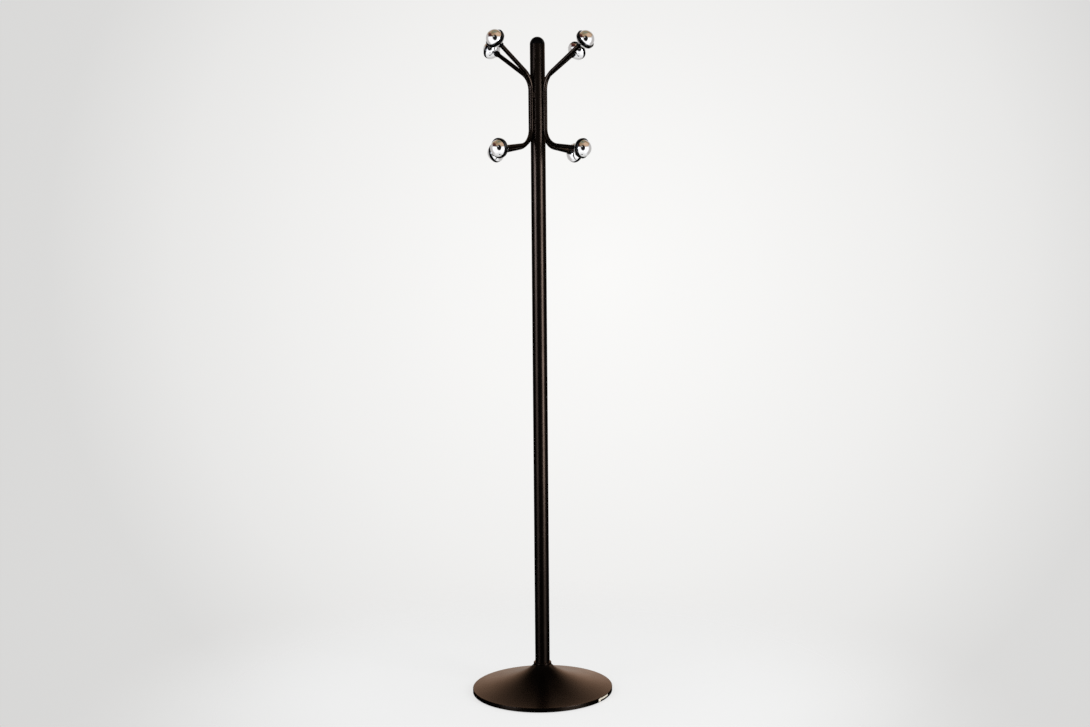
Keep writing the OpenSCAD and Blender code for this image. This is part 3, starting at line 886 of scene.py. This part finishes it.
class COATRACK_OT_stage(bpy.types.Operator):
    """Sets the camera, the pale floor, the surroundings and the side lamps"""
    bl_idname = "coatrack.stage"
    bl_label = "Stage"

    def execute(self, context):
        stage = context.scene.coat_rack_stage
        self.camera(context.scene, stage)
        self.floor(stage)
        self.lamps(stage)
        self.surroundings(context.scene, stage)
        context.scene.view_settings.view_transform = "Standard"
        return {"FINISHED"}

    def camera(self, scene, stage):
        """The camera, at about two thirds of the rack's height and turned slightly right."""
        data = bpy.data.cameras.new("camera")
        data.sensor_width, data.lens, data.shift_x = 36.0, stage.lens, stage.shift
        data.clip_start, data.clip_end = 0.05, 60.0
        eye = bpy.data.objects.new("camera", data)
        eye.matrix_world = (Matrix.Translation(stage.place)
                            @ Matrix.Rotation(-stage.heading, 4, "Z")
                            @ Matrix.Rotation(math.pi / 2 - stage.dip, 4, "X")
                            @ Matrix.Rotation(stage.roll, 4, "Z"))
        scene.collection.objects.link(eye)
        scene.camera = eye

    def floor(self, stage):
        """A round pale floor that fades out; dull gloss and eyes below it see through it."""
        mesh = bmesh.new()
        under = -0.3 * MM
        add_rings(mesh, lathe_rings(mesh, [(0.0, under), (stage.floor * 1.05, under)], 96))
        tree, shader, _ = new_finish("pale_floor")
        where = put(tree, "TexCoord").outputs["Object"]
        away = put(tree, "VectorMath", {0: where}, operation="LENGTH").outputs["Value"]
        pale = blend(tree, noise(tree, 9.0, 2.0), (0.925, 0.925, 0.925), (0.945, 0.945, 0.94))
        wire(tree, shader, Base_Color=pale, Roughness=0.9, Specular_IOR_Level=0.1)
        edge = ramp(tree, away, stage.floor * 0.35, stage.floor, smooth=True)
        behind = put(tree, "NewGeometry").outputs["Backfacing"]
        path = put(tree, "LightPath").outputs
        dull = calc(tree, "SUBTRACT", path["Is Glossy Ray"], path["Is Singular Ray"])
        clear = calc(tree, "MAXIMUM", calc(tree, "MAXIMUM", edge, behind), dull)
        through = put(tree, "BsdfTransparent").outputs[0]
        glow = put(tree, "Emission", {"Color": (1.0, 0.998, 0.99, 1.0)}).outputs[0]
        seen = calc(tree, "MAXIMUM", path["Is Camera Ray"], path["Is Singular Ray"])
        share = calc(tree, "MULTIPLY", seen, stage.floor_glow)
        lit = put(tree, "MixShader", {0: share, 1: shader.outputs[0], 2: glow})
        mixed = put(tree, "MixShader", {0: clear, 1: lit.outputs[0], 2: through})
        tree.links.new(mixed.outputs[0], tree.nodes["Material Output"].inputs["Surface"])
        floor = finish_mesh(mesh, "floor", finishes()["pale_floor"])
        if floor.data.polygons[0].normal.z < 0:
            floor.data.flip_normals()

    def lamps(self, stage):
        """Two soft lamps, one on each side of the camera, which doesn't see them."""
        towards, right = view_axes(stage)
        for name, side, middle, tall, radiance, tint in (
                ("lamp_left", -1, 1.36, 0.56, stage.lamps * 0.95, (0.90, 0.98, 1.15)),
                ("lamp_right", 1, 0.86, 1.60, stage.lamps, (1.0, 1.02, 1.06))):
            data = bpy.data.lights.new(name, "AREA")
            data.shape, data.size, data.size_y = "RECTANGLE", stage.lamp_width, tall
            data.energy = radiance * math.pi * stage.lamp_width * tall
            data.color = tint
            lamp = bpy.data.objects.new(name, data)
            turn = math.radians(52)
            way = towards * math.cos(turn) + right * (side * math.sin(turn))
            lamp.location = way * stage.lamp_distance + Vector((0, 0, middle))
            lamp.rotation_euler = way.to_track_quat("Z", "Y").to_euler()
            lamp.visible_camera = False
            bpy.context.scene.collection.objects.link(lamp)

    def backdrop(self, sky, stage):
        """What the camera sees: palest behind the rack, falling off all around."""
        towards = view_axes(stage)[0]
        lowered, widest = 0.3, 30.0
        axis = Vector((0, 0, -math.sin(stage.dip) * lowered)) - towards * math.cos(stage.dip)
        off = sky.degrees("ARCCOSINE", sky.along(axis.normalized()))
        fall = put(sky.tree, "ValToRGB", {0: sky.calc("DIVIDE", off, widest)})
        stops = ((0.0, 0.96), (0.20, 0.925), (0.40, 0.87), (0.55, 0.81), (0.70, 0.71), (1.0, 0.68))
        for position, value in stops[1:-1]:
            fall.color_ramp.elements.new(position)
        for element, (position, value) in zip(fall.color_ramp.elements, stops):
            element.position, element.color = position, (value, value * 0.995, value * 0.985, 1.0)
        return fall.outputs[0]

    def walls(self, sky):
        """What chrome sees: pale walls, a brown ceiling and a dark oval towards the camera."""
        mottle = put(sky.tree, "TexNoise",
                     {"Vector": sky.look, "Scale": 5.0, "Detail": 3.0}).outputs[0]
        mottle = ramp(sky.tree, mottle, 0.35, 0.65)
        ceiling = sky.blend(mottle, (0.22, 0.15, 0.07), (0.52, 0.36, 0.24))
        walls = sky.blend(sky.fade(sky.height, 12, 22), (0.90, 0.90, 0.91), ceiling)
        walls = sky.patch(walls, (0.66, 0.46, 0.32), (25, 90), (30, 62), 16)
        walls = sky.blend(sky.fade(sky.height, 58, 82), walls, (0.24, 0.25, 0.18))
        # dark red at the upper left, then grey sides, grey behind and a bright front
        for row in (((0.10, 0.03, 0.025), (-105, -52), (24, 42), 14),
                    ((0.035, 0.008, 0.009), (-100, -26), (19, 25), 6),
                    ((0.56, 0.54, 0.53), (100, 138), (-40, 20), 14, True),
                    ((0.62, 0.61, 0.60), (150, 210), (-60, 40), 12, True),
                    ((1.15, 1.15, 1.16), (-1, 76), (-80, 2), 20, True)):
            walls = sky.patch(walls, *row)

        rough_edge = ramp(sky.tree, mottle, 0.0, 1.0, -0.18, 0.18)
        dark = sky.calc("ADD", sky.oval(4.0, 3.0, 29.0, 36.0), rough_edge)
        walls = sky.blend(sky.fade(dark, 0.70, 1.25, 1.0, 0.0), walls, (0.012, 0.011, 0.012))
        glint = ramp(sky.tree, sky.oval(-9.0, 19.0, 6.0, 9.0), 0.4, 1.0, 1.0, 0.0)
        return sky.blend(glint, walls, (1.0, 0.98, 0.95))

    def dusk(self, sky):
        """What dull gloss sees: near dark, with a window behind the rack and a few glows."""
        height = sky.height
        shade = sky.blend(sky.fade(height, 30, 70), (0.004, 0.004, 0.004), (0.02, 0.018, 0.016))
        shade = sky.patch(shade, (0.75, 0.68, 0.60), (112, 130), (18, 28), 16)
        shade = sky.patch(shade, (0.25, 0.23, 0.21), (-130, -112), (22, 32), 14)

        # the window is widest high up, and dims there
        off_level = sky.calc("ABSOLUTE", sky.calc("SUBTRACT", height, 12.0))
        spread = sky.calc("MAXIMUM", sky.calc("ADD", height, 27.0), 17.0)
        off_back = sky.calc("DIVIDE", sky.calc("SUBTRACT", 180.0, sky.aside), spread)
        behind = sky.calc("MULTIPLY", sky.fade(off_level, 0, 40, 1.0, 0.0),
                          sky.fade(off_back, 0.05, 1.0, 1.0, 0.0))
        behind = sky.calc("MULTIPLY", behind, sky.fade(height, 34, 50, 1.0, 0.25))
        shade = sky.blend(behind, shade, (1.16, 1.06, 0.96))

        # low glows at the right and the left, and a faint one above the camera
        shade = sky.patch(shade, (0.35, 0.35, 0.35), (38, 66), (-30, -8), 8)
        shade = sky.patch(shade, (0.16, 0.15, 0.14), (-40, 40), (16, 40), 14)
        low = sky.calc("MULTIPLY", ramp(sky.tree, height, -14, -1),
                       ramp(sky.tree, height, -1, 3, 1.0, 0.0))
        low_left = sky.calc("MULTIPLY", low, sky.window(sky.turn, -62, -42, 8))
        return sky.blend(low_left, shade, (2.3, 2.4, 2.6))

    def surroundings(self, scene, stage):
        """What lies around the rack, which differs with the kind of ray that looks."""
        world = bpy.data.worlds.new("studio")
        world.use_nodes = True
        tree = world.node_tree
        sky = Sky(tree, stage)
        path = put(tree, "LightPath").outputs
        # the walls are darker once two domes have mirrored each other
        again = ramp(tree, path["Ray Depth"], 2.4, 2.6)
        walls = sky.blend(again, self.walls(sky), (0.10, 0.09, 0.085))
        gloss = sky.blend(path["Is Singular Ray"], self.dusk(sky), walls)
        light = sky.blend(path["Is Glossy Ray"], (stage.fill,) * 3, gloss)
        shown = sky.blend(path["Is Camera Ray"], light, self.backdrop(sky, stage))
        tree.links.new(shown, tree.nodes["Background"].inputs["Color"])
        scene.world = world


# ---------- panel and registration ----------

STEPS = (COATRACK_OT_foot, COATRACK_OT_underside, COATRACK_OT_column, COATRACK_OT_arms,
         COATRACK_OT_knobs, COATRACK_OT_stage)


class COATRACK_PT_panel(bpy.types.Panel):
    """Lists the building steps and the settings of the coat rack"""
    bl_idname = "COATRACK_PT_panel"
    bl_label = "Coat Rack"
    bl_space_type = "VIEW_3D"
    bl_region_type = "UI"
    bl_category = "Coat Rack"

    def draw(self, context):
        layout = self.layout
        for step in STEPS:
            layout.operator(step.bl_idname)
        for name, group in GROUPS.items():
            box = layout.box()
            box.label(text=group.__doc__)
            for key in group.__annotations__:
                box.prop(getattr(context.scene, name), key)


CLASSES = (*GROUPS.values(), *STEPS, COATRACK_PT_panel)


def register():
    for cls in CLASSES:
        bpy.utils.register_class(cls)
    for name, group in GROUPS.items():
        setattr(bpy.types.Scene, name, PointerProperty(type=group))


def unregister():
    for name in GROUPS:
        delattr(bpy.types.Scene, name)
    for cls in reversed(CLASSES):
        bpy.utils.unregister_class(cls)


def main():
    """Builds every piece in order."""
    register()
    for step in STEPS:
        getattr(bpy.ops.coatrack, step.bl_idname.split(".")[1])()
    bpy.context.view_layer.update()


if __name__ == "__main__":
    main()
